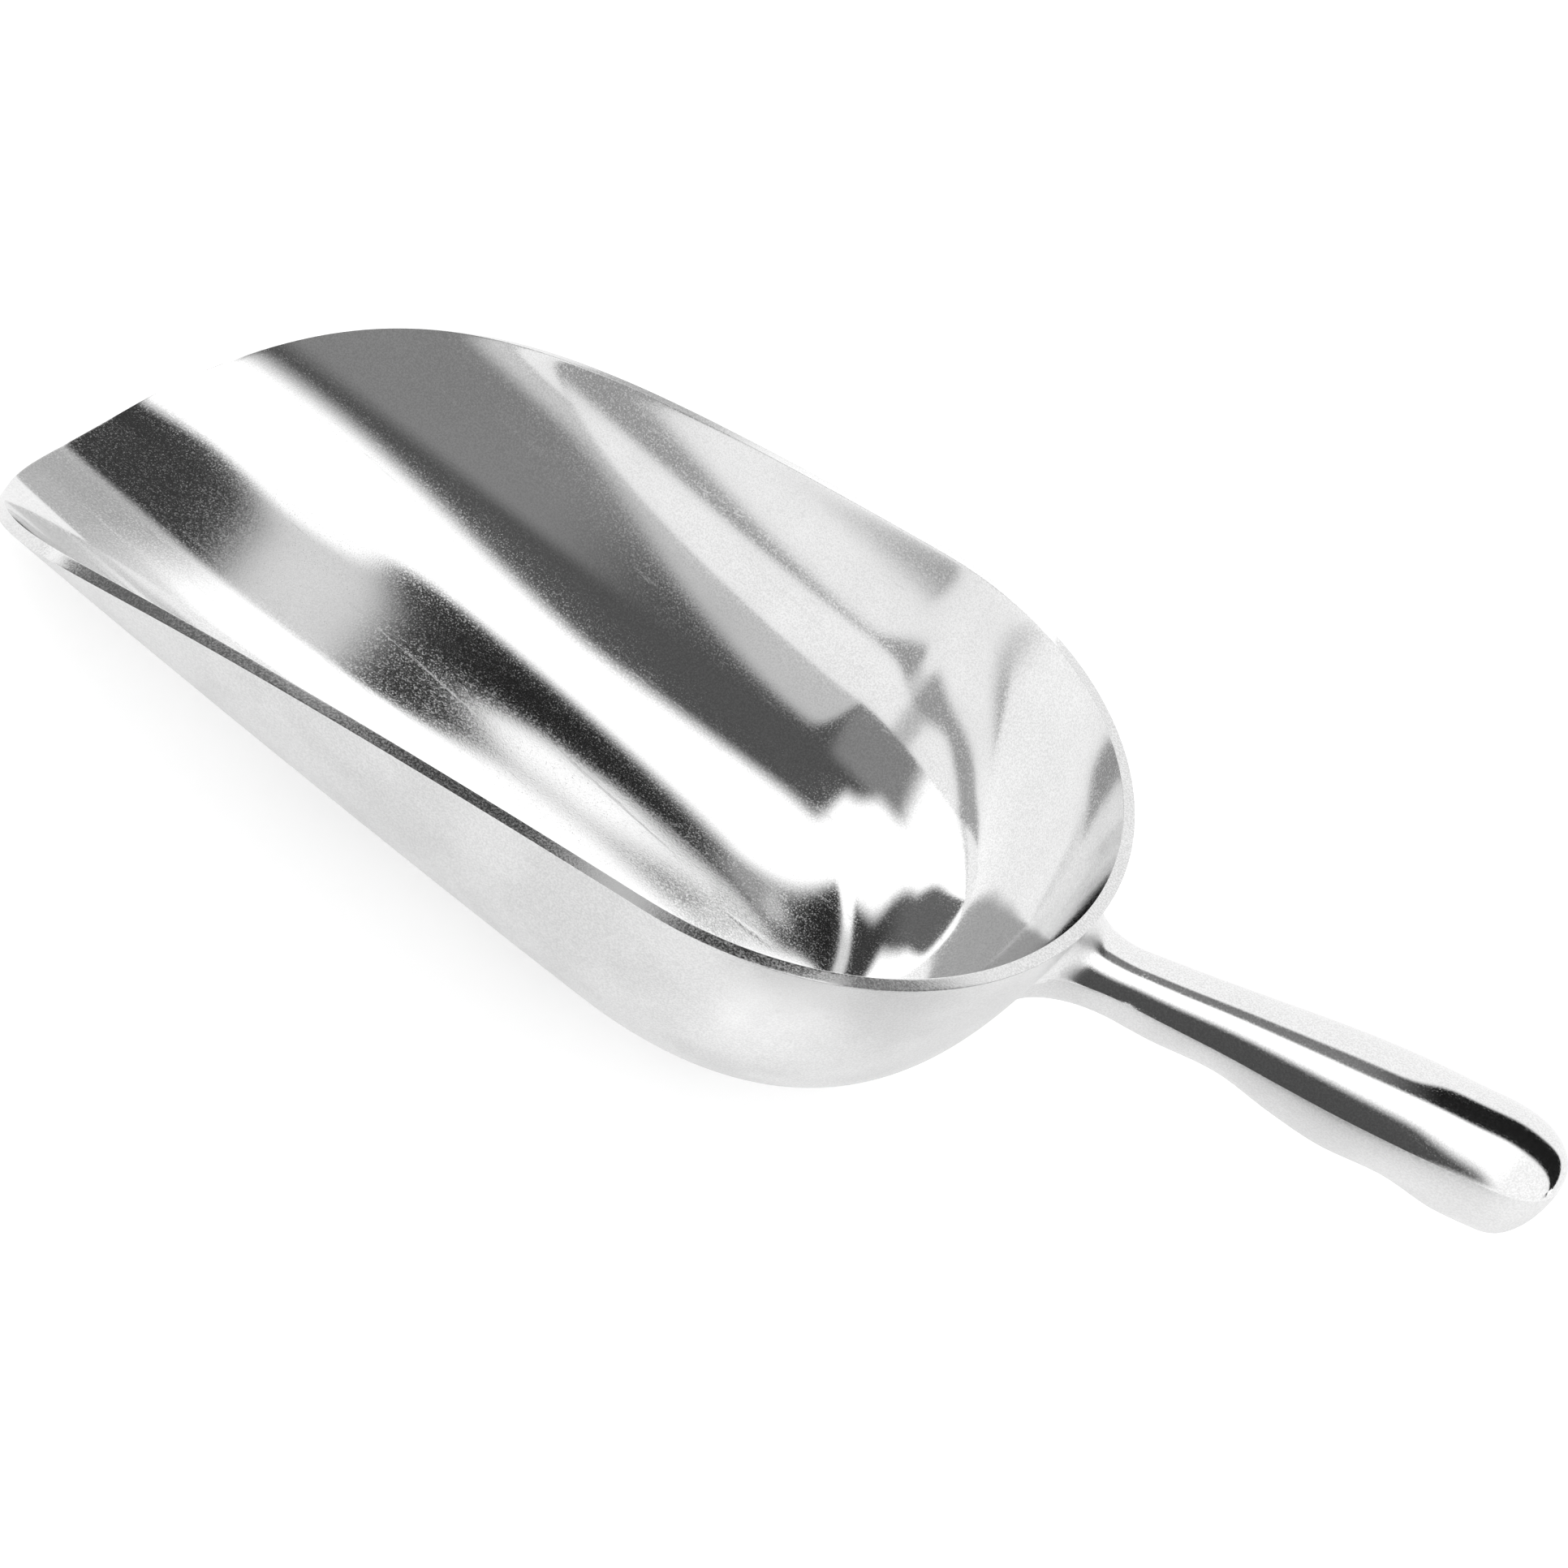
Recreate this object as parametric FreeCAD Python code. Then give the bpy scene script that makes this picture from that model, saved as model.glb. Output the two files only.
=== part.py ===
"""Cast aluminium ice scoop, modelled as the three lengths its casting pattern divides into:
the bowl, the flared foot that joins the grip to the bowl's back wall, and the grip.

Frame, in mm: +X runs from the lip to the grip, +Y across, +Z up. The origin is on the
resting plane, under the centre of the bowl's round back. The scoop is symmetric about Y = 0.
"""
import FreeCAD, Part
import math
import os

# Bowl plan
bowl_width = 172.6
straight_length = 211.7      # from the lip to the centre of the round back
front_spread = 4.0           # how much wider each side stands at the lip than at the back

# Rim line, seen from the side: three heights of its sweep, then the turn down to the lip
rim_height_back = 93.5
rim_height_middle = 84.0     # over the origin
rim_height_front = 38.9      # where the sweep would meet the lip if it didn't turn down
lip_turn_length = 180.5
lip_turn_power = 4.9
lip_turn_root = 1.19

# Wall
wall = 3.2
wall_above_rim = 9.0         # the walls would stand upright this far above the back of the rim
flat_half_width = 8.0        # half the width of the flat that the bowl rests on
side_power = 2.65            # roundness of the cross-section: 2 is an ellipse, more is squarer
back_power = 3.7
lip_power = 1.9
power_fade = 1.5

# Grip: an axis along the line where its crown meets its belly
grip_root_height = 70.2      # axis height where it leaves the back wall
grip_angle = 16.9            # degrees above the resting plane
grip_length = 124.5          # along the axis, from the wall to the end of the knob
grip_gap = 2.3               # from the upright back wall to where the axis is measured from
crown_cap_length = 20.0      # over this length the crown and sides round off to the end
belly_cap_length = 11.0
cap_power = 2.2              # 2 is round, more is squarer
plan_cap_power = 3.2         # the same, seen from above
end_flat = 0.25              # length left off the very end, where the rounding closes

# Grip sections: distance along the axis, half width, crown height and belly depth
grip_sections = [
    (0.0, 8.6, 6.4, 12.0),
    (25.0, 9.9, 7.6, 14.0),
    (43.0, 10.9, 9.1, 13.5),
    (58.0, 12.4, 10.3, 18.0),
    (72.0, 13.6, 11.2, 21.0),
    (88.0, 14.2, 11.5, 20.6),
    (104.0, 14.2, 10.8, 24.5),
]

# Foot: the root of the grip, flared onto the wall
foot_length = 20.0
foot_sink = 8.0              # how far the flare is modelled into the bowl before it is trimmed
flare_power = 3.0
top_flare = 22.0             # the most that the flare adds, at its sunk end
side_flare = 18.0
bottom_flare = 26.0

# Resolution of the curves that pass through computed points
side_stations = 10
back_stations = 18
wall_points = 15

half_width = bowl_width / 2
section_depth = rim_height_back + wall_above_rim
overshoot = 6.0              # how far cutting shapes run past what they cut


def evenly_spaced(points, count):
    """Points spaced evenly along a polyline of (reach, height) pairs, ends included."""
    lengths = [0.0]
    for first, second in zip(points, points[1:]):
        lengths.append(lengths[-1] + math.dist(first, second))
    spaced = [points[0]]
    piece = 0
    for step in range(1, count - 1):
        target = lengths[-1] * step / (count - 1)
        while lengths[piece + 1] < target:
            piece += 1
        share = (target - lengths[piece]) / (lengths[piece + 1] - lengths[piece])
        first, second = points[piece], points[piece + 1]
        spaced.append(tuple(a + share * (b - a) for a, b in zip(first, second)))
    return spaced + [points[-1]]


def wall_profile(reach, depth, power):
    """Half cross-section of the tub, from the edge of its flat up to the upright wall."""
    fine = 400
    curve = []
    for step in range(fine + 1):
        turn = step / fine * math.pi / 2
        out = math.sin(turn) ** (2 / power)
        up = 1 - math.cos(turn) ** (2 / power)
        curve.append((flat_half_width + (reach - flat_half_width) * out, depth * up))
    return evenly_spaced(curve, wall_points)


def tub(inset, front, depth):
    """The bowl before its rim is cut: a closed solid, inset from the outside all round."""
    reach_back = half_width - inset
    near_side = []
    for station in range(side_stations):
        x = front * (1 - station / side_stations)
        forward = x / -straight_length
        reach = reach_back + front_spread * forward ** 2
        power = side_power + (lip_power - side_power) * forward ** power_fade
        near_side.append([(x, out, up) for out, up in wall_profile(reach, depth, power)])
    rows = [[FreeCAD.Vector(x, -y, z + inset) for x, y, z in row] for row in near_side]
    for station in range(back_stations + 1):
        angle = math.pi * station / back_stations
        power = side_power + (back_power - side_power) * math.sin(angle) ** 2
        rows.append([FreeCAD.Vector(out * math.sin(angle), -out * math.cos(angle), up + inset)
                     for out, up in wall_profile(reach_back, depth, power)])
    for row in reversed(near_side):
        rows.append([FreeCAD.Vector(x, y, z + inset) for x, y, z in row])

    skin = Part.BSplineSurface()
    skin.interpolate(rows)
    wall_face = skin.toShape()
    near_low, near_high = rows[0][0], rows[0][-1]
    far_low, far_high = rows[-1][0], rows[-1][-1]
    low_line = Part.makeLine(near_low, far_low)
    high_line = Part.makeLine(near_high, far_high)
    u_first, u_last, v_first, v_last = skin.bounds()
    near_edge = skin.uIso(u_first).toShape()
    far_edge = skin.uIso(u_last).toShape()
    low_edge = skin.vIso(v_first).toShape()
    high_edge = skin.vIso(v_last).toShape()
    front_face = Part.Face(Part.Wire(Part.__sortEdges__([near_edge, high_line, far_edge, low_line])))
    floor_face = Part.Face(Part.Wire(Part.__sortEdges__([low_edge, low_line])))
    top_face = Part.Face(Part.Wire(Part.__sortEdges__([high_edge, high_line])))
    shell = Part.Shell([wall_face, front_face, floor_face, top_face])
    shell.sewShape()
    solid = Part.makeSolid(Part.Shell(shell.Faces))
    if solid.Volume < 0:
        solid.reverse()
    return solid


def rim_height(x):
    """Height of the rim line at x: a parabola through the three heights, turned down at the lip."""
    front, back = -straight_length, half_width
    height = rim_height_middle * (x - front) * (x - back) / (front * back)
    height += rim_height_front * x * (x - back) / (front * (front - back))
    height += rim_height_back * x * (x - front) / (back * (back - front))
    turn = (front + lip_turn_length - x) / lip_turn_length
    if turn > 0:
        height *= max(0.0, 1 - turn ** lip_turn_power) ** (1 / lip_turn_root)
    return height


def below_rim():
    """Everything under the rim line, as a block that the bowl is trimmed to."""
    lip_x, back_x = -straight_length, half_width + overshoot
    curve_points = 24
    points = []
    for step in range(curve_points + 1):
        x = lip_x + (back_x - lip_x) * (step / curve_points) ** 2
        points.append(FreeCAD.Vector(x, 0, rim_height(x)))
    rim_line = Part.BSplineCurve()
    rim_line.interpolate(points)
    low_lip = FreeCAD.Vector(lip_x, 0, -overshoot)
    low_back = FreeCAD.Vector(back_x, 0, -overshoot)
    outline = [rim_line.toShape(), Part.makeLine(points[-1], low_back),
               Part.makeLine(low_back, low_lip), Part.makeLine(low_lip, points[0])]
    face = Part.Face(Part.Wire(outline))
    across = half_width + front_spread + overshoot
    face.translate(FreeCAD.Vector(0, -across, 0))
    return face.extrude(FreeCAD.Vector(0, 2 * across, 0))


def grip_slope(index, column):
    """How fast a size of the grip changes along its axis, at one of its sections."""
    if index in (0, len(grip_sections) - 1):
        return 0.0
    before, after = grip_sections[index - 1], grip_sections[index + 1]
    return (after[column] - before[column]) / (after[0] - before[0])


def grip_size(along):
    """Half width, crown height and belly depth of the grip at a distance along its axis."""
    along = min(max(along, 0.0), grip_sections[-1][0])
    index = max(i for i, row in enumerate(grip_sections[:-1]) if row[0] <= along)
    row, following = grip_sections[index], grip_sections[index + 1]
    span = following[0] - row[0]
    share = (along - row[0]) / span
    sizes = []
    for column in (1, 2, 3):
        eased = row[column] + share ** 2 * (3 - 2 * share) * (following[column] - row[column])
        leaving = share * (1 - share) ** 2 * grip_slope(index, column)
        arriving = share ** 2 * (share - 1) * grip_slope(index + 1, column)
        sizes.append(eased + span * (leaving + arriving))
    return sizes


def rounding(along, cap_length, power):
    """Share of its size that the grip keeps where it rounds off to its end."""
    past = (along - (grip_length - cap_length)) / cap_length
    return math.sqrt(1 - past ** power) if past > 0 else 1.0


def flare(along):
    """Share of the full flare at a distance along the axis."""
    return max(0.0, (foot_length - along) / (foot_length + foot_sink)) ** flare_power


def grip_wire(along):
    """Closed outline of the grip: an arc over the crown and a full belly.

    It lies square to the axis, and leans back to upright over the foot, in line with the wall.
    """
    half, crown, belly = grip_size(along)
    half = half * rounding(along, crown_cap_length, plan_cap_power) + side_flare * flare(along)
    crown = crown * rounding(along, crown_cap_length, cap_power) + top_flare * flare(along)
    belly = belly * rounding(along, belly_cap_length, cap_power) + bottom_flare * flare(along)
    angle = math.radians(grip_angle)
    lean = angle * min(1.0, max(0.0, along / foot_length))
    root = FreeCAD.Vector(half_width + grip_gap, 0, grip_root_height)
    centre = root + FreeCAD.Vector(math.cos(angle), 0, math.sin(angle)) * along
    upward = FreeCAD.Vector(-math.sin(lean), 0, math.cos(lean))

    def place(across, up):
        return centre + FreeCAD.Vector(0, across, 0) + upward * up

    if half >= belly:
        ellipse = Part.Ellipse(place(half, 0), place(0, -belly), centre)
        belly_line = Part.ArcOfEllipse(ellipse, 0, math.pi)
    else:
        ellipse = Part.Ellipse(place(0, -belly), place(-half, 0), centre)
        belly_line = Part.ArcOfEllipse(ellipse, -math.pi / 2, math.pi / 2)
    crown_line = Part.Arc(belly_line.EndPoint, place(0, crown), belly_line.StartPoint)
    return Part.Wire([belly_line.toShape(), crown_line.toShape()])


def grip_loft(stations):
    """Solid through the grip's outlines at these distances along its axis."""
    return Part.makeLoft([grip_wire(along) for along in stations], True, False)


def make_bowl(outside):
    inside = tub(wall, -straight_length - 2 * overshoot, section_depth)
    return outside.cut(inside).common(below_rim())


def make_foot(outside):
    steps = 8
    span = foot_length + foot_sink
    stations = [span * (step / steps) - foot_sink for step in range(steps + 1)]
    return grip_loft(stations).cut(outside)


def make_grip():
    body_steps = 9
    body_end = grip_length - crown_cap_length
    stations = [foot_length + (body_end - foot_length) * step / body_steps
                for step in range(body_steps)]
    cap_steps = 9
    cap_length = crown_cap_length - end_flat
    for step in range(cap_steps + 1):
        share = step / cap_steps
        stations.append(body_end + cap_length * (1 - (1 - share) ** 2))
    return grip_loft(stations)


def main():
    os.makedirs("parts", exist_ok=True)
    outside = tub(0.0, -straight_length - overshoot, section_depth)
    nodes = {
        "bowl": make_bowl(outside),
        "handle_foot": make_foot(outside),
        "handle_grip": make_grip(),
    }
    for name, shape in nodes.items():
        solids = shape.Solids
        solid = solids[0] if len(solids) == 1 else shape
        box = solid.BoundBox
        print(name, len(solids), solid.isValid(), round(solid.Volume / 1000, 1), "cm3",
              [round(value, 1) for value in (box.XMin, box.XMax, box.YMin, box.YMax, box.ZMin, box.ZMax)])
        solid.exportStep("parts/" + name + ".step")


main()
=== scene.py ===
"""Ice scoop: the looks of a one-piece aluminium casting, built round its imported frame.

Three pieces stand for the three pattern lengths: the bowl, the flared foot and the grip. The bowl
and the foot share one wall surface, so that the foot's fillet runs out tangent to the bowl. The
crown of the grip is polished and its belly is left as it came out of the tumbler. Metres, +X to the
grip, +Y across, +Z up; each size below is in millimetres and passes through mm().
"""
import bpy
import bmesh
import math
from mathutils import Matrix, Vector


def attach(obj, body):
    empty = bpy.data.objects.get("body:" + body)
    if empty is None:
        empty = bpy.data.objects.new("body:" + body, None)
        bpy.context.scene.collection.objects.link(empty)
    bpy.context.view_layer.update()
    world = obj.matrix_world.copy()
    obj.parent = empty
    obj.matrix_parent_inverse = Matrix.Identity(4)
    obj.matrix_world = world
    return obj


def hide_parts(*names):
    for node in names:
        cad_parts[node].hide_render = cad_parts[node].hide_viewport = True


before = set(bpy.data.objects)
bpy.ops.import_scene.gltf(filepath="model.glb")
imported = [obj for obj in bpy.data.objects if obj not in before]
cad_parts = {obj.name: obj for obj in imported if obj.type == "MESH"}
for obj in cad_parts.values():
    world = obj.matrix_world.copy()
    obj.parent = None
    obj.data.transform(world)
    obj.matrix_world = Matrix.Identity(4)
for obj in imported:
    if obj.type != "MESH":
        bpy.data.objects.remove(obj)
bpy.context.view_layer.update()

# Bowl
BOWL_HALF_WIDTH = 86.3
STRAIGHT_LENGTH = 211.7      # from the lip to the centre of the round back
FRONT_SPREAD = 4.0
WALL = 3.2
FLAT_HALF_WIDTH = 8.0        # half of the flat that the bowl rests on
SECTION_DEPTH = 102.5        # height at which the walls would stand upright
SIDE_POWER = 2.65            # roundness of the cross-section: 2 is an ellipse, more is squarer
BACK_POWER = 3.7
LIP_POWER = 1.9
POWER_FADE = 1.5
RIM_HEIGHT_BACK = 93.5
RIM_HEIGHT_MIDDLE = 84.0     # over the origin
RIM_HEIGHT_FRONT = 38.9      # where the sweep would meet the lip if it didn't turn down
LIP_TURN_LENGTH = 180.5
LIP_TURN_POWER = 4.9
LIP_TURN_ROOT = 1.19
RIM_ROUNDING = 0.4
RIM_ANGLE = math.radians(50)  # of the bowl's edges, only those sharper than this are rounded
LIP_CORNER = 8.2             # from the tip, where the lip's front edge passes into the rim

# Grip: an axis along the crease where its crown meets its belly
GRIP_ROOT_HEIGHT = 70.2
GRIP_GAP = 2.3
GRIP_ANGLE = math.radians(16.9)
GRIP_LENGTH = 124.5
CROWN_CAP = 20.0             # over this length the crown and sides round off to the end
BELLY_CAP = 11.0
CAP_POWER = 2.2              # 2 is round, more is squarer
PLAN_CAP_POWER = 3.2         # the knob is squarer seen from above
CREASE_ROUNDING = 0.35
CREASE_ANGLE = math.radians(30)  # edges sharper than this are creases
TINY = 1e-6
# Distance along the axis, half width, crown height, belly depth
GRIP_SECTIONS = [
    (0.0, 8.6, 6.4, 12.0),
    (25.0, 9.9, 7.6, 14.0),
    (43.0, 10.9, 9.1, 13.5),
    (58.0, 12.4, 10.3, 18.0),
    (72.0, 13.6, 11.2, 21.0),
    (88.0, 14.2, 11.5, 20.6),
    (104.0, 14.2, 10.8, 24.5),
]

# Foot: a fillet from the grip onto the wall
FOOT_LENGTH = 20.0
FILLET_LENGTH = 17.0
TOP_FILLET = 9.5
SIDE_FILLET = 8.5
BOTTOM_FILLET = 12.5
FILLET_SINK = 0.1            # how far the fillet's edge is let into the wall
POLISH_START = 93.0          # where the polish of the crown begins, along X
POLISH_FADE = 2.5            # half the length over which it comes up, and how ragged it is


def mm(value):
    return value / 1000


def blend_between(low, high, share):
    return low + (high - low) * share


# ---------------------------------------------------------------- shape of the bowl

def rim_height(x):
    """Height of the rim at x: a parabola through three heights, turned down at the lip."""
    front, back = -STRAIGHT_LENGTH, BOWL_HALF_WIDTH
    height = RIM_HEIGHT_MIDDLE * (x - front) * (x - back) / (front * back)
    height += RIM_HEIGHT_FRONT * x * (x - back) / (front * (front - back))
    height += RIM_HEIGHT_BACK * x * (x - front) / (back * (back - front))
    turn = min(1.0, (front + LIP_TURN_LENGTH - x) / LIP_TURN_LENGTH)
    if turn > 0:
        height *= max(0.0, 1 - turn ** LIP_TURN_POWER) ** (1 / LIP_TURN_ROOT)
    return height


def side_section(x):
    """Half width and roundness of the cross-section of the straight sides at x."""
    forward = max(0.0, x / -STRAIGHT_LENGTH)
    half_width = BOWL_HALF_WIDTH + FRONT_SPREAD * forward ** 2
    return half_width, blend_between(SIDE_POWER, LIP_POWER, forward ** POWER_FADE)


def back_section(angle):
    """The same for the round back, with the angle measured round from the near side."""
    return BOWL_HALF_WIDTH, blend_between(SIDE_POWER, BACK_POWER, math.sin(angle) ** 2)


def sweep_at(height, power):
    """How far round its quarter turn a cross-section has come at a height."""
    return math.acos((1 - height / SECTION_DEPTH) ** (power / 2))


def wall_point(section, sweep):
    """Reach and height of a cross-section at a part of its quarter turn."""
    half_width, power = section
    reach = FLAT_HALF_WIDTH + (half_width - FLAT_HALF_WIDTH) * math.sin(sweep) ** (2 / power)
    return reach, SECTION_DEPTH * (1 - math.cos(sweep) ** (2 / power))


def rim_sweep(x):
    """The part of its quarter turn at which the side wall at x meets the rim."""
    return sweep_at(rim_height(x), side_section(x)[1])


def lip_setback(up):
    """How far the lip's front edge has turned back from its tip, a share of the way to its corner."""
    target = up * rim_sweep(LIP_CORNER - STRAIGHT_LENGTH)
    low, high = 0.0, LIP_CORNER
    halvings = 30
    for _ in range(halvings):
        middle = (low + high) / 2
        if rim_sweep(middle - STRAIGHT_LENGTH) < target:
            low = middle
        else:
            high = middle
    return high


def back_wall_x(y, height):
    """How far back the outside of the round wall stands at a place across and a height."""
    angle = math.pi / 2
    corrections = 6
    for _ in range(corrections):
        section = back_section(angle)
        reach = wall_point(section, sweep_at(height, section[1]))[0]
        angle = math.acos(max(-1.0, min(1.0, -y / reach)))
    return reach * math.sin(angle)


# ---------------------------------------------------------------- camera

CAMERA_AIM = Vector((3.9, 28.4, 28.5))
CAMERA_DISTANCE = 514.7
CAMERA_AZIMUTH = math.radians(3.342)
CAMERA_ELEVATION = math.radians(44.017)
CAMERA_ROLL = math.radians(34.686)
CAMERA_LENS = 42.58


def make_camera():
    data = bpy.data.cameras.new("camera")
    data.sensor_width = 36.0
    data.lens = CAMERA_LENS
    data.clip_start = 0.01
    data.clip_end = 50.0
    camera = bpy.data.objects.new("camera", data)
    bpy.context.scene.collection.objects.link(camera)
    turn = Matrix.Rotation(CAMERA_AZIMUTH, 4, "Z")
    tilt = Matrix.Rotation(math.pi / 2 - CAMERA_ELEVATION, 4, "X")
    roll = Matrix.Rotation(CAMERA_ROLL, 4, "Z")
    away = Matrix.Translation((0, 0, mm(CAMERA_DISTANCE)))
    camera.matrix_world = Matrix.Translation(CAMERA_AIM / 1000) @ turn @ tilt @ roll @ away
    bpy.context.scene.camera = camera


make_camera()


# ---------------------------------------------------------------- mesh helpers

def new_piece(name, mesh, materials):
    """An object at the origin with its place in its mesh, smooth shaded."""
    data = bpy.data.meshes.new(name)
    mesh.to_mesh(data)
    mesh.free()
    for material in materials:
        data.materials.append(material)
    for face in data.polygons:
        face.use_smooth = True
    piece = bpy.data.objects.new(name, data)
    bpy.context.scene.collection.objects.link(piece)
    return piece


def smooth_surface(piece, levels):
    """Subdivides the finished piece, the same in the viewport as in the render."""
    modifier = piece.modifiers.new("surface", "SUBSURF")
    modifier.levels = levels
    modifier.render_levels = levels
    modifier.boundary_smooth = "PRESERVE_CORNERS"


# ---------------------------------------------------------------- bowl

SIDE_COLUMNS = 60            # from the lip to the round back
BACK_COLUMNS = 63            # odd, so that one face stands astride the middle
BOWL_ROWS = 34               # from the flat up to the rim
FLOOR_CUTS = 3               # across the flat
SETBACK_FADE = 2.0           # how soon the columns behind the lip stand straight across


def bowl_point(column, up):
    """Outside of the bowl: columns run from the near corner of the lip round to the far one."""
    total = 2 * SIDE_COLUMNS + BACK_COLUMNS
    from_lip = min(column, total - column) / SIDE_COLUMNS
    if from_lip <= 1:
        side = -1 if column < total / 2 else 1
        behind = -STRAIGHT_LENGTH * (1 - from_lip)
        fade = (1 - from_lip) ** SETBACK_FADE
        x = behind + lip_setback(up) * fade
        sweep = up * rim_sweep(behind + LIP_CORNER * fade)
        reach, height = wall_point(side_section(x), sweep)
        return Vector((x, side * reach, height)) / 1000
    angle = math.pi * (column - SIDE_COLUMNS) / BACK_COLUMNS
    section = back_section(angle)
    rim = rim_height(BOWL_HALF_WIDTH * math.sin(angle))
    reach, height = wall_point(section, up * sweep_at(rim, section[1]))
    return Vector((reach * math.sin(angle), -reach * math.cos(angle), height)) / 1000


def make_bowl(outside, inside, rim):
    """A sheet over the outside, its flat filled in, then given the wall and a rounded rim."""
    mesh = bmesh.new()
    columns = 2 * SIDE_COLUMNS + BACK_COLUMNS
    bmesh.ops.create_grid(mesh, x_segments=columns, y_segments=BOWL_ROWS, size=0.5)
    low_near, low_far = [], []
    for vert in mesh.verts:
        column, row = round((vert.co.x + 0.5) * columns), round((vert.co.y + 0.5) * BOWL_ROWS)
        vert.co = bowl_point(column, row / BOWL_ROWS)
        if row == 0:
            (low_near if column < columns / 2 else low_far).append(vert)
    loops = [edge for edge in mesh.edges
             if all(v in low_near for v in edge.verts) or all(v in low_far for v in edge.verts)]
    across = bmesh.ops.bridge_loops(mesh, edges=loops)["edges"]
    bmesh.ops.subdivide_edges(mesh, edges=across, cuts=FLOOR_CUTS, use_grid_fill=True)
    bmesh.ops.remove_doubles(mesh, verts=mesh.verts, dist=mm(0.01))
    bmesh.ops.recalc_face_normals(mesh, faces=mesh.faces)
    if min(mesh.faces, key=lambda face: face.calc_center_median().z).normal.z > 0:
        bmesh.ops.reverse_faces(mesh, faces=mesh.faces)
    bowl = new_piece("scoop_bowl", mesh, [outside, inside, rim])

    thicken = bowl.modifiers.new("wall", "SOLIDIFY")
    thicken.thickness = mm(WALL)
    thicken.offset = -1
    thicken.use_even_offset = True
    thicken.material_offset = 1
    thicken.material_offset_rim = 2
    soften = bowl.modifiers.new("rim", "BEVEL")
    soften.width = mm(RIM_ROUNDING)
    soften.segments = 3
    soften.limit_method = "ANGLE"
    soften.angle_limit = RIM_ANGLE
    smooth_surface(bowl, 1)
    return bowl


# ---------------------------------------------------------------- grip and foot

RING_POINTS = 64             # round the grip, with two of them on the creases


def grip_slope(index, column):
    """How fast a size changes along the axis at one of the sections."""
    before, after = max(index - 1, 0), min(index + 1, len(GRIP_SECTIONS) - 1)
    if before == index or after == index:
        return 0.0
    rise = GRIP_SECTIONS[after][column] - GRIP_SECTIONS[before][column]
    return rise / (GRIP_SECTIONS[after][0] - GRIP_SECTIONS[before][0])


def grip_size(along):
    """Half width, crown height and belly depth at a distance along the axis: a smooth curve
    through the sections."""
    along = min(max(along, 0.0), GRIP_SECTIONS[-1][0])
    index = max(i for i, row in enumerate(GRIP_SECTIONS[:-1]) if row[0] <= along)
    first, second = GRIP_SECTIONS[index], GRIP_SECTIONS[index + 1]
    span = second[0] - first[0]
    share = (along - first[0]) / span
    sizes = []
    for column in (1, 2, 3):
        eased = blend_between(first[column], second[column], share * share * (3 - 2 * share))
        leaving = share * (1 - share) ** 2 * grip_slope(index, column)
        arriving = share ** 2 * (share - 1) * grip_slope(index + 1, column)
        sizes.append(eased + span * (leaving + arriving))
    return sizes


def rounding(along, cap_length, power):
    """Share of its size that the grip keeps where it rounds off to its end."""
    past = (along - (GRIP_LENGTH - cap_length)) / cap_length
    return math.sqrt(max(0.0, 1 - past ** power)) if past > 0 else 1.0


def grip_outline(turn, half, crown, belly):
    """A place on the grip's outline: an arc over the crown and a full belly."""
    if math.sin(turn) < -TINY:
        return half * math.cos(turn), belly * math.sin(turn)
    if crown < TINY:
        return half * math.cos(turn), 0.0
    radius = (half ** 2 + crown ** 2) / (2 * crown)
    spread = 2 * math.atan2(crown, half)
    lean = spread * (1 - 2 * turn / math.pi)
    return radius * math.sin(lean), crown - radius + radius * math.cos(lean)


def grip_point(along, across, up, lean):
    """A point at a distance along the grip's axis, in a section that leans back from upright."""
    root = Vector((BOWL_HALF_WIDTH + GRIP_GAP, 0, GRIP_ROOT_HEIGHT))
    axis = Vector((math.cos(GRIP_ANGLE), 0, math.sin(GRIP_ANGLE)))
    return root + axis * along + Vector((-math.sin(lean) * up, across, math.cos(lean) * up))


def ring_turns():
    return [2 * math.pi * step / RING_POINTS for step in range(RING_POINTS)]


def grip_ring(along):
    """Points round the grip at a distance along its axis, in metres."""
    half, crown, belly = grip_size(along)
    half *= rounding(along, CROWN_CAP, PLAN_CAP_POWER)
    crown *= rounding(along, CROWN_CAP, CAP_POWER)
    belly *= rounding(along, BELLY_CAP, CAP_POWER)
    lean = GRIP_ANGLE * min(1.0, max(0.0, along / FOOT_LENGTH))
    points = []
    for turn in ring_turns():
        across, up = grip_outline(turn, half, crown, belly)
        points.append(grip_point(along, across, up, lean) / 1000)
    return points


def fillet_ring(share):
    """Points round the foot's fillet: share 0 on the grip, 1 on the wall, where it runs out."""
    climb = share * math.pi / 2
    along = FILLET_LENGTH * (1 - math.sin(climb))
    flare = 1 - math.cos(climb)
    half, crown, belly = grip_size(along)
    lean = GRIP_ANGLE * along / FOOT_LENGTH
    points = []
    for turn in ring_turns():
        across, up = grip_outline(turn, half + SIDE_FILLET * flare, crown + TOP_FILLET * flare,
                                  belly + BOTTOM_FILLET * flare)
        place = grip_point(along, across, up, lean)
        off_axis = math.cos(GRIP_ANGLE) * along
        on_wall = back_wall_x(place.y, place.z) + off_axis - FILLET_SINK
        place.x = blend_between(place.x, on_wall, math.sin(climb) ** 2)
        points.append(place / 1000)
    return points


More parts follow.
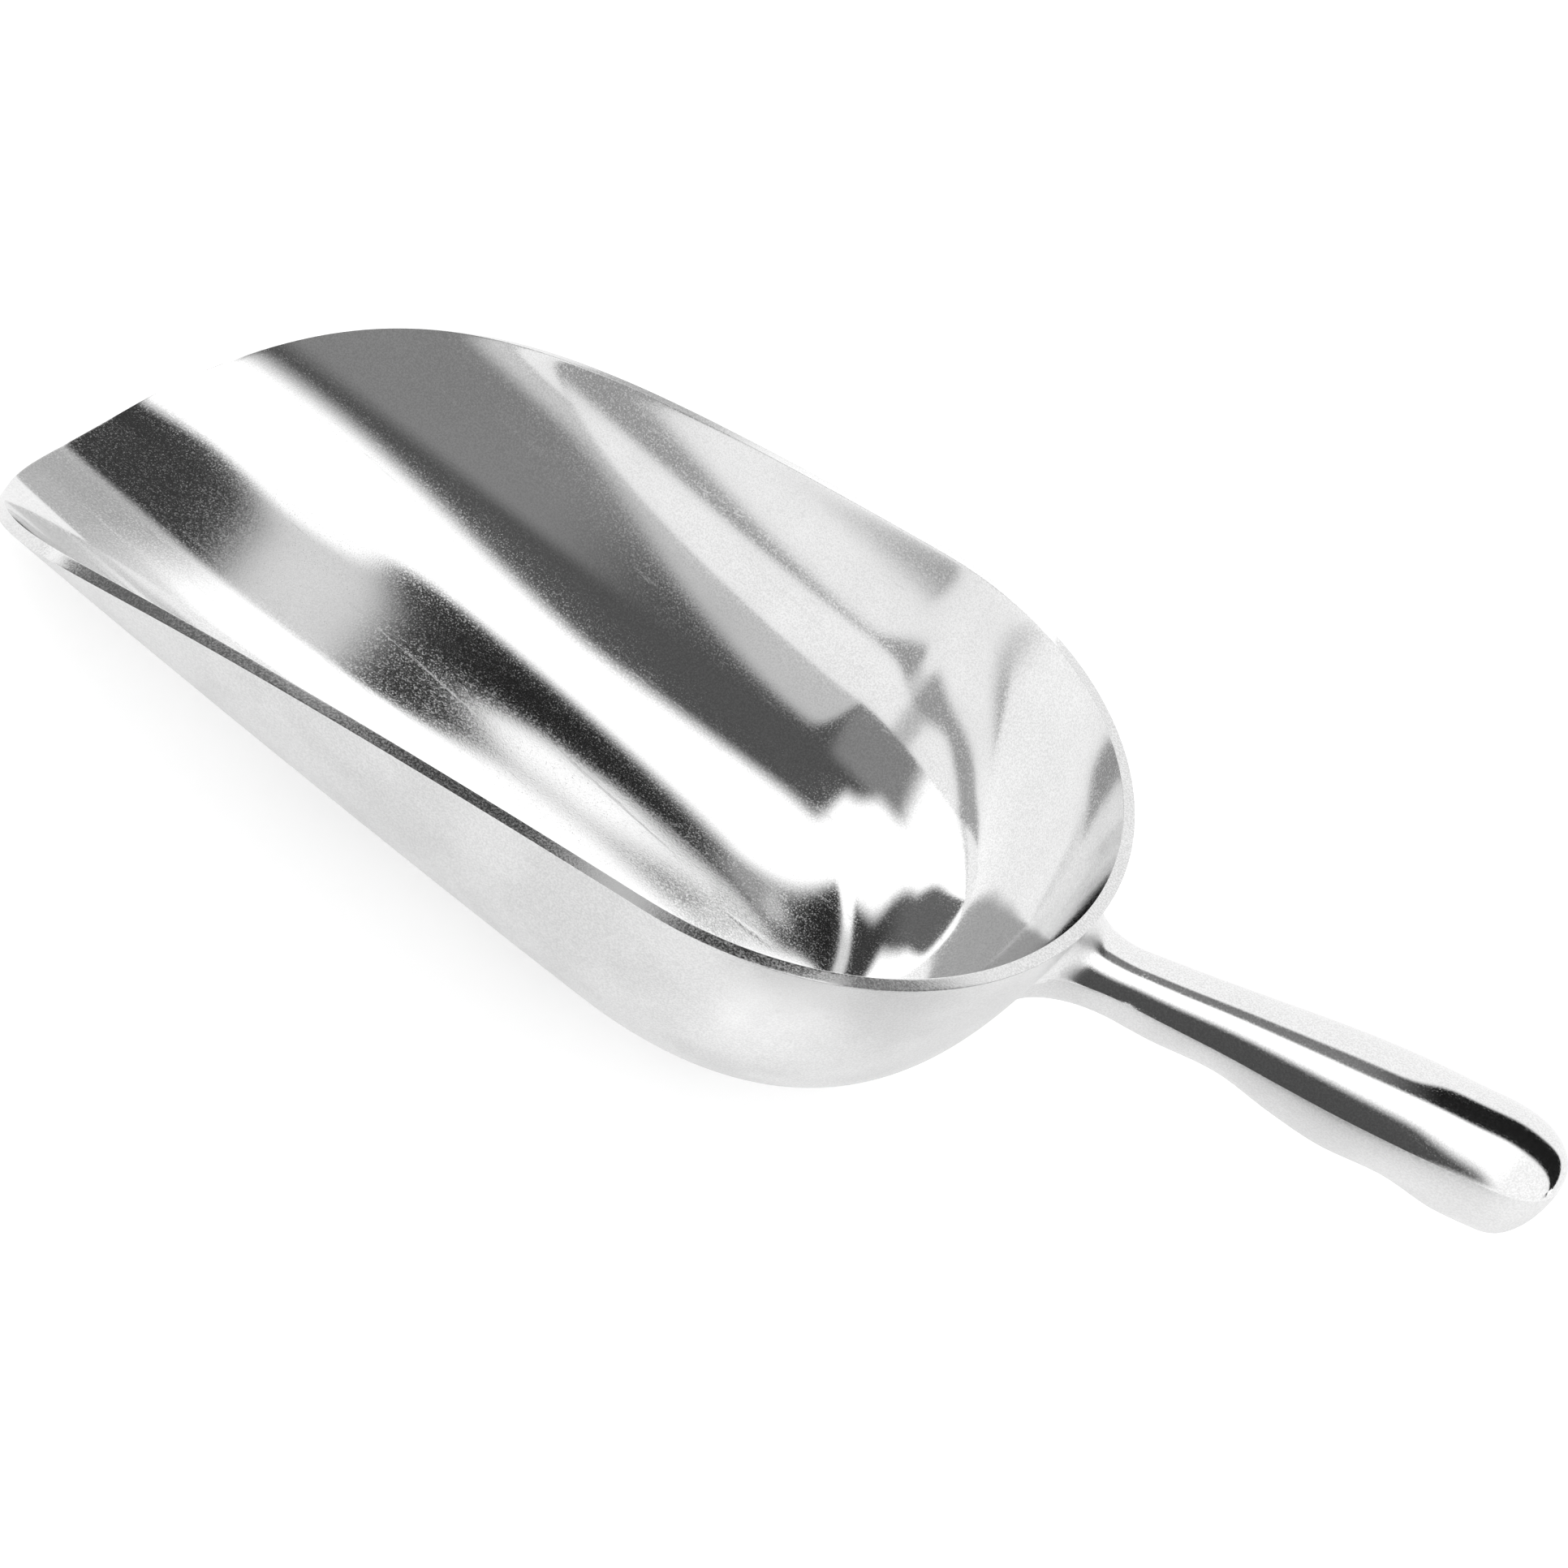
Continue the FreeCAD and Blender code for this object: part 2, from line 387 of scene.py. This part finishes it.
def ring_tube(rings):
    """A tube through rings of points: one circle, extruded from ring to ring."""
    mesh = bmesh.new()
    bmesh.ops.create_circle(mesh, segments=RING_POINTS, radius=1.0)
    edges = mesh.edges[:]
    order = sorted(mesh.verts, key=lambda v: math.atan2(v.co.y, v.co.x) % (2 * math.pi))
    for vert, point in zip(order, rings[0]):
        vert.co = point
    for ring in rings[1:]:
        before = {id(vert): index for index, vert in enumerate(order)}
        made = bmesh.ops.extrude_edge_only(mesh, edges=edges)["geom"]
        edges = [item for item in made if isinstance(item, bmesh.types.BMEdge)]
        fresh = [item for item in made if isinstance(item, bmesh.types.BMVert)]
        followers = {}
        for vert in fresh:
            for edge in vert.link_edges:
                other = edge.other_vert(vert)
                if id(other) in before:
                    followers[before[id(other)]] = vert
        order = [followers[index] for index in range(RING_POINTS)]
        for vert, point in zip(order, ring):
            vert.co = point
    return mesh, order


def make_grip(crown_metal, belly_metal):
    """The grip from the end of the foot to the knob, its two creases slightly rounded."""
    body_end = GRIP_LENGTH - CROWN_CAP
    body_steps, cap_steps = 30, 16
    stations = [FOOT_LENGTH + (body_end - FOOT_LENGTH) * step / body_steps
                for step in range(body_steps)]
    for step in range(cap_steps + 1):
        stations.append(body_end + CROWN_CAP * math.sin(math.pi / 2 * step / cap_steps))
    mesh, last = ring_tube([grip_ring(along) for along in stations])
    bmesh.ops.pointmerge(mesh, verts=last, merge_co=grip_ring(GRIP_LENGTH)[0])
    finish_ring_mesh(mesh)
    return new_piece("scoop_grip", mesh, [crown_metal, belly_metal])


def make_foot(crown_metal, belly_metal):
    """The root of the grip and the fillet that runs out onto the wall."""
    fillet_steps = 16
    rings = [grip_ring(FOOT_LENGTH), grip_ring((FOOT_LENGTH + FILLET_LENGTH) / 2)]
    rings += [fillet_ring(step / fillet_steps) for step in range(fillet_steps + 1)]
    mesh, _ = ring_tube(rings)
    finish_ring_mesh(mesh)
    return new_piece("scoop_foot", mesh, [crown_metal, belly_metal])


def height_over_axis(point):
    """How far a point is above the plane in which the crown meets the belly."""
    root = Vector((BOWL_HALF_WIDTH + GRIP_GAP, 0, GRIP_ROOT_HEIGHT)) / 1000
    upward = Vector((-math.sin(GRIP_ANGLE), 0, math.cos(GRIP_ANGLE)))
    return (point - root).dot(upward)


def finish_ring_mesh(mesh):
    """Joins doubled points, turns the faces out, gives the belly its finish and rounds the creases."""
    bmesh.ops.remove_doubles(mesh, verts=mesh.verts, dist=mm(0.001))
    bmesh.ops.recalc_face_normals(mesh, faces=mesh.faces)
    for face in mesh.faces:
        if height_over_axis(face.calc_center_median()) < 0:
            face.material_index = 1
    creases = [edge for edge in mesh.edges
               if len(edge.link_faces) == 2 and edge.calc_face_angle() > CREASE_ANGLE]
    bmesh.ops.bevel(mesh, geom=creases, affect="EDGES", offset=mm(CREASE_ROUNDING), segments=2,
                    profile=0.5, material=-1)


# ---------------------------------------------------------------- metals

class Graph:
    """Short calls for placing nodes in a tree. Each returns the socket that the node puts out."""

    def __init__(self, tree):
        self.tree = tree

    def node(self, kind, **settings):
        made = self.tree.nodes.new(kind)
        for name, value in settings.items():
            setattr(made, name, value)
        return made

    def feed(self, socket, value):
        if isinstance(value, bpy.types.NodeSocket):
            self.tree.links.new(value, socket)
        else:
            socket.default_value = value

    def math(self, operation, first, *others):
        """Does the operation with each of the other values in turn."""
        for other in others or (None,):
            made = self.node("ShaderNodeMath", operation=operation)
            self.feed(made.inputs[0], first)
            if other is not None:
                self.feed(made.inputs[1], other)
            first = made.outputs[0]
        return first

    def ramp(self, value, low, high, start=0.0, end=1.0):
        """Eases from start to end as the value goes from low to high."""
        made = self.node("ShaderNodeMapRange", interpolation_type="SMOOTHSTEP")
        for name, given in (("Value", value), ("From Min", low), ("From Max", high),
                            ("To Min", start), ("To Max", end)):
            self.feed(made.inputs[name], given)
        return made.outputs["Result"]

    def step_up(self, value, edge, softness):
        return self.ramp(value, self.math("SUBTRACT", edge, softness),
                         self.math("ADD", edge, softness))

    def step_down(self, value, edge, softness):
        return self.math("SUBTRACT", 1.0, self.step_up(value, edge, softness))

    def band(self, value, low, high, low_softness, high_softness):
        """1 between the low edge and the high one, and 0 outside them."""
        return self.math("MULTIPLY", self.step_up(value, low, low_softness),
                         self.step_down(value, high, high_softness))

    def gray(self, value):
        """A colour with the same value in each channel."""
        made = self.node("ShaderNodeCombineColor")
        for socket in made.inputs[:3]:
            self.feed(socket, value)
        return made.outputs[0]

    def mix(self, share, first, second):
        made = self.node("ShaderNodeMix", data_type="FLOAT")
        for name, given in (("Factor", share), ("A", first), ("B", second)):
            self.feed(made.inputs[name], given)
        return made.outputs["Result"]


def new_group(name, inputs, outputs):
    """An empty shader node group. Inputs are floats with a value each, and outputs are floats."""
    tree = bpy.data.node_groups.new(name, "ShaderNodeTree")
    for label, value in inputs.items():
        socket = tree.interface.new_socket(label, in_out="INPUT", socket_type="NodeSocketFloat")
        socket.default_value = value
    for label in outputs:
        tree.interface.new_socket(label, in_out="OUTPUT", socket_type="NodeSocketFloat")
    g = Graph(tree)
    return g, g.node("NodeGroupInput").outputs, g.node("NodeGroupOutput").inputs


def noise(g, place, scale, detail, roughness=0.5):
    made = g.node("ShaderNodeTexNoise")
    for name, value in (("Vector", place), ("Scale", scale), ("Detail", detail),
                        ("Roughness", roughness)):
        g.feed(made.inputs[name], value)
    return made.outputs["Fac"]


def grain_group():
    """The fine grain of tumbled metal: a speckle, and slow clouds where the tumbling was uneven.
    Sizes are in millimetres."""
    g, given, out = new_group("metal_grain", {"Grain Size": 0.5, "Cloud Size": 30.0},
                              ("Speckle", "Cloud"))
    place = g.node("ShaderNodeTexCoord").outputs["Object"]
    fine = g.math("DIVIDE", 1000.0, given["Grain Size"])
    wide = g.math("DIVIDE", 1000.0, given["Cloud Size"])
    g.feed(out["Speckle"], noise(g, place, fine, 2.0, 0.6))
    g.feed(out["Cloud"], g.ramp(noise(g, place, wide, 3.0), 0.3, 0.7))
    return g.tree


def scratch_group():
    """Fine handling scratches that run mostly lengthwise, a few of them deeper. Size in
    millimetres."""
    g, given, out = new_group("handling_scratches", {"Spacing": 3.0, "Turn": 0.1}, ("Scratch",))
    place = g.node("ShaderNodeTexCoord").outputs["Object"]
    turned = g.node("ShaderNodeVectorRotate", rotation_type="Z_AXIS")
    g.feed(turned.inputs["Vector"], place)
    g.feed(turned.inputs["Angle"], given["Turn"])
    stretched = g.node("ShaderNodeMapping")
    g.feed(stretched.inputs["Vector"], turned.outputs[0])
    stretched.inputs["Scale"].default_value = (0.04, 1.0, 1.0)
    lines = noise(g, stretched.outputs[0], g.math("DIVIDE", 1000.0, given["Spacing"]), 4.0, 0.7)
    g.feed(out["Scratch"], g.ramp(lines, 0.6, 0.72))
    return g.tree


SPECKLE_SPAN = (0.3, 0.7)    # the part of the speckle that the roughness follows
SPOT_SPAN = (0.35, 0.65)     # the part that the tone follows
PIT_SPAN = (0.6, 0.7)        # the part that sinks into pits
SCRATCH_ROUGHNESS = 0.08
TUMBLED_ROUGHNESS = (0.4, 0.55)
TUMBLED_DEPTH = 0.04

GRAIN = grain_group()
SCRATCHES = scratch_group()


def metal(name, tone, roughness, grain_size, grain_depth, cloud_tone, scratch_depth=0.0,
          pit_depth=0.0, polish_start=None):
    """Bare cast aluminium. Tone and roughness are (low, high), and sizes are in millimetres. Short
    of the start of its polish, if it has one, the metal is as rough as it is outside."""
    material = bpy.data.materials.new(name)
    material.use_nodes = True
    g = Graph(material.node_tree)
    shader = material.node_tree.nodes["Principled BSDF"]
    shader.inputs["Metallic"].default_value = 1.0
    grain = g.node("ShaderNodeGroup", node_tree=GRAIN)
    grain.inputs["Grain Size"].default_value = grain_size
    speckle, cloud = grain.outputs
    scratches = g.node("ShaderNodeGroup", node_tree=SCRATCHES).outputs["Scratch"]

    low_tone, high_tone = tone
    clouded = g.ramp(cloud, 0.0, 1.0, high_tone - cloud_tone, high_tone)
    spotted = g.math("SUBTRACT", clouded, high_tone - low_tone)
    value = g.mix(g.ramp(speckle, *SPOT_SPAN), spotted, clouded)
    g.feed(shader.inputs["Base Color"], g.gray(value))

    worn = g.math("MULTIPLY", scratches, SCRATCH_ROUGHNESS)
    rough = g.math("ADD", worn, g.ramp(speckle, *SPECKLE_SPAN, *roughness))
    depth = grain_depth
    if polish_start is not None:
        place = g.node("ShaderNodeSeparateXYZ")
        g.feed(place.inputs[0], g.node("ShaderNodeTexCoord").outputs["Object"])
        ragged = g.math("ADD", place.outputs["X"], g.math("MULTIPLY", speckle, mm(POLISH_FADE)))
        polished = g.step_up(ragged, mm(polish_start), mm(POLISH_FADE))
        rough = g.mix(polished, TUMBLED_ROUGHNESS[0], rough)
        depth = g.mix(polished, TUMBLED_DEPTH, grain_depth)
    g.feed(shader.inputs["Roughness"], rough)

    sunk = g.math("MULTIPLY", scratches, scratch_depth)
    pitted = g.math("MULTIPLY", g.ramp(speckle, *PIT_SPAN), pit_depth)
    bump = g.node("ShaderNodeBump")
    bump.inputs["Strength"].default_value = 1.0
    bump.inputs["Distance"].default_value = mm(1)
    g.feed(bump.inputs["Height"], g.math("SUBTRACT", g.math("MULTIPLY", speckle, depth), sunk, pitted))
    g.feed(shader.inputs["Normal"], bump.outputs[0])
    return material


# ---------------------------------------------------------------- assembly

outside_metal = metal("tumbled_outside", tone=(0.72, 0.86), roughness=TUMBLED_ROUGHNESS,
                      grain_size=0.5, grain_depth=TUMBLED_DEPTH, cloud_tone=0.07)
inside_metal = metal("burnished_inside", tone=(0.72, 0.88), roughness=(0.05, 0.1),
                     grain_size=0.5, grain_depth=0.003, cloud_tone=0.03,
                     scratch_depth=0.001, pit_depth=0.003)
rim_metal = metal("ground_rim", tone=(0.66, 0.82), roughness=(0.1, 0.2),
                  grain_size=0.5, grain_depth=0.006, cloud_tone=0.03)
crown_metal = metal("polished_crown", tone=(0.76, 0.9), roughness=(0.06, 0.12),
                    grain_size=0.45, grain_depth=0.003, cloud_tone=0.02,
                    scratch_depth=0.001, pit_depth=0.004, polish_start=POLISH_START)

bowl = make_bowl(outside_metal, inside_metal, rim_metal)
foot = make_foot(crown_metal, outside_metal)
grip = make_grip(crown_metal, outside_metal)
for piece, node, slot in ((bowl, "bowl", "bowl_metal"), (foot, "handle_foot", "grip_metal"),
                          (grip, "handle_grip", "grip_metal")):
    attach(piece, "root")
    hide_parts(node)


# ---------------------------------------------------------------- floor and light

FLOOR_REACH = 6.0            # half its width, in metres
FLOOR_TONE = 0.8
FLOOR_GLOW = 0.28
FLOOR_GLOW_SEEN = 0.42       # a little more where it is looked at, so that it is white
FLOOR_ROUGHNESS = 0.8


def make_floor():
    mesh = bmesh.new()
    bmesh.ops.create_grid(mesh, x_segments=2, y_segments=2, size=FLOOR_REACH)
    material = bpy.data.materials.new("pale_table")
    material.use_nodes = True
    shader = material.node_tree.nodes["Principled BSDF"]
    shader.inputs["Base Color"].default_value = (FLOOR_TONE, FLOOR_TONE, FLOOR_TONE, 1)
    shader.inputs["Roughness"].default_value = FLOOR_ROUGHNESS
    shader.inputs["Emission Color"].default_value = (1, 1, 1, 1)
    g = Graph(material.node_tree)
    seen = g.node("ShaderNodeLightPath").outputs["Is Camera Ray"]
    g.feed(shader.inputs["Emission Strength"], g.mix(seen, FLOOR_GLOW, FLOOR_GLOW_SEEN))
    floor = new_piece("floor", mesh, [material])


# Strengths of what reflections see in the world
SOFTBOX = 1.5
PALE_BOX = 0.66              # past the near flag
GREY_CARD = 0.27             # the upper part of the near flag
DARK_CARD = 0.1              # its lower part
HAZE = 0.5                   # a band low on the far side, part of the way to the lip
SKIRTING = 0.6               # lowest on the far side
VEIL = 1.15                  # an even light
VEIL_SHARE = 0.4             # how far a reflection of a reflection fades to the even light


def far_flag(g, roll, lipward):
    """How far the flag beyond the scoop covers a direction: a wedge that opens towards the lip,
    thins at a notch, and lifts further on."""
    low = g.math("ADD", g.ramp(lipward, 0.05, 0.12, -41.7, -41.15),
                 g.ramp(lipward, 0.15, 0.36, 0.0, -7.85),
                 g.ramp(lipward, 0.4, 0.6, 0.0, 20.0),
                 g.ramp(lipward, 0.78, 0.92, 0.0, -14.0))
    notch = g.band(lipward, 0.262, 0.335, 0.022, 0.022)
    wedge = g.math("MULTIPLY", g.math("MINIMUM", lipward, 0.225), 112.0)
    high = g.math("ADD", wedge, -41.5,
                  g.ramp(lipward, 0.45, 0.8, 0.0, 28.0),
                  g.ramp(lipward, 0.8, 0.95, 0.0, 18.0),
                  g.math("MULTIPLY", notch, -12.0))
    cover = g.band(roll, low, high, g.ramp(lipward, 0.2, 0.5, 0.5, 6.0),
                   g.ramp(lipward, 0.2, 0.5, 4.0, 7.0))
    return g.math("MULTIPLY", cover, g.ramp(notch, 0.0, 1.0, 1.0, 0.45),
                  g.ramp(lipward, 0.5, 0.8, 1.0, 0.93))


def near_flag(g, roll, lipward, high):
    """How far the flag on the near side covers a direction. It fades out towards the lip."""
    low = g.math("ADD", g.ramp(lipward, 0.12, 0.26, 4.0, 30.0),
                 g.ramp(lipward, 0.26, 0.45, 0.0, 12.0))
    return g.math("MULTIPLY", g.band(roll, low, high, 7.0, 6.0),
                  g.ramp(lipward, 0.52, 0.7, 1.0, 0.0))


def make_world():
    """Softboxes round the table, with two dark flags hung among them.

    A direction is told by its roll, in degrees from overhead towards the near side, and by how
    far it reaches towards the lip.
    """
    world = bpy.data.worlds.new("studio")
    world.use_nodes = True
    bpy.context.scene.world = world
    g = Graph(world.node_tree)
    ray = g.node("ShaderNodeSeparateXYZ")
    g.feed(ray.inputs[0], g.node("ShaderNodeTexCoord").outputs["Generated"])
    x, y, z = ray.outputs
    roll = g.math("DEGREES", g.math("ARCTAN2", g.math("MULTIPLY", y, -1.0), z))
    lipward = g.math("MULTIPLY", x, -1.0)

    near_high = g.ramp(lipward, 0.0, 0.22, 46.0, 86.0)
    sky = g.mix(g.step_up(roll, near_high, 6.0), SOFTBOX, PALE_BOX)
    hazy = g.math("MULTIPLY", g.band(lipward, 0.34, 0.46, 0.03, 0.03), g.step_down(roll, -48.0, 6.0))
    sky = g.mix(hazy, sky, HAZE)
    sky = g.mix(g.math("MULTIPLY", g.step_down(roll, -72.0, 6.0), 0.5), sky, SKIRTING)
    upper = g.math("MULTIPLY", g.step_up(roll, 41.0, 5.0), g.step_up(lipward, 0.135, 0.035))
    near_tone = g.mix(upper, DARK_CARD, GREY_CARD)
    sky = g.mix(near_flag(g, roll, lipward, near_high), sky, near_tone)
    sky = g.mix(far_flag(g, roll, lipward), sky, g.ramp(lipward, 0.18, 0.3, 0.02, 0.05))

    path = g.node("ShaderNodeLightPath")
    twice = g.math("GREATER_THAN", path.outputs["Glossy Depth"], 1.5)
    sky = g.mix(g.math("MULTIPLY", twice, VEIL_SHARE), sky, VEIL)
    backdrop = world.node_tree.nodes["Background"]
    backdrop.inputs["Color"].default_value = (1, 1, 1, 1)
    g.feed(backdrop.inputs["Strength"], g.mix(path.outputs["Is Glossy Ray"], 1.0, sky))


CANOPY_RADIUS = 110.0
CANOPY_START = 38.0
CANOPY_END = 900.0
CANOPY_AXIS_HEIGHT = 94.0
CANOPY_REACH = 150.0         # near its start, what is further off than this sees through it
CANOPY_FAR_REACH = 1000.0    # the same over the rest of it
CANOPY_NEAR_ROLL = math.radians(128)
CANOPY_FAR_ROLL = math.radians(-112)
CANOPY_STEPS = 60


def canopy_level(g, x, roll):
    """Strength of the canopy's light at a place along it and a roll from overhead, in degrees. A
    flag hangs along its top and another along its near side."""
    top_low = g.math("SUBTRACT", g.ramp(x, 0.14, 0.18, -14.0, -36.0),
                     g.ramp(x, 0.22, 0.32, 0.0, 14.0))
    top_high = g.ramp(x, 0.12, 0.19, 14.0, 8.0)
    top = g.math("MULTIPLY", g.band(roll, top_low, top_high, 4.0, 4.0),
                 g.ramp(x, 0.12, 0.165, 0.82, 0.99))
    side_low = g.ramp(x, 0.165, 0.225, 58.0, 84.0)
    side_high = g.ramp(x, 0.09, 0.12, 109.0, 135.0)
    side = g.math("MULTIPLY", g.band(roll, side_low, side_high, 11.0, 4.0),
                  g.ramp(x, 0.2, 0.232, 0.94, 0.0))
    softbox = g.ramp(roll, -30.0, 20.0, 1.05, g.ramp(x, 0.19, 0.23, 1.4, 1.1))
    return g.mix(side, g.mix(top, softbox, 0.0), 0.0)


def canopy_light(axis_height):
    """Light on the inside, clear from the outside and from far off."""
    material = bpy.data.materials.new("canopy_light")
    material.use_nodes = True
    g = Graph(material.node_tree)
    place = g.node("ShaderNodeSeparateXYZ")
    g.feed(place.inputs[0], g.node("ShaderNodeTexCoord").outputs["Object"])
    x, y, z = place.outputs
    roll = g.math("DEGREES", g.math("ARCTAN2", g.math("MULTIPLY", y, -1.0),
                                    g.math("SUBTRACT", z, axis_height)))
    light = g.node("ShaderNodeEmission")
    g.feed(light.inputs["Strength"], canopy_level(g, x, roll))
    clear = g.node("ShaderNodeBsdfTransparent")
    distance = g.node("ShaderNodeLightPath").outputs["Ray Length"]
    reach = g.ramp(x, 0.11, 0.13, mm(CANOPY_REACH), mm(CANOPY_FAR_REACH))
    unseen = g.math("MAXIMUM", g.node("ShaderNodeNewGeometry").outputs["Backfacing"],
                    g.math("GREATER_THAN", distance, reach))
    either = g.node("ShaderNodeMixShader")
    for socket, value in zip(either.inputs, (unseen, light.outputs[0], clear.outputs[0])):
        g.feed(socket, value)
    g.feed(material.node_tree.nodes["Material Output"].inputs["Surface"], either.outputs[0])
    return material


def make_canopy():
    """A tunnel of softboxes and flags over the handle. Only reflections see it."""
    mesh = bmesh.new()
    centre = Vector((0, 0, CANOPY_AXIS_HEIGHT)) / 1000
    arm = Vector((0, -math.sin(CANOPY_NEAR_ROLL), math.cos(CANOPY_NEAR_ROLL))) * mm(CANOPY_RADIUS)
    ends = [mesh.verts.new(centre + arm + Vector((mm(x), 0, 0))) for x in (CANOPY_START, CANOPY_END)]
    edge = mesh.edges.new(ends)
    bmesh.ops.spin(mesh, geom=[*ends, edge], cent=centre, axis=(1, 0, 0),
                   angle=CANOPY_FAR_ROLL - CANOPY_NEAR_ROLL, steps=CANOPY_STEPS,
                   use_duplicate=False)
    bmesh.ops.reverse_faces(mesh, faces=mesh.faces)
    canopy = new_piece("canopy", mesh, [canopy_light(centre.z)])
    for kind in ("camera", "diffuse", "transmission", "volume_scatter", "shadow"):
        setattr(canopy, "visible_" + kind, False)


make_canopy()
make_floor()
make_world()
bpy.context.scene.view_settings.view_transform = "Standard"
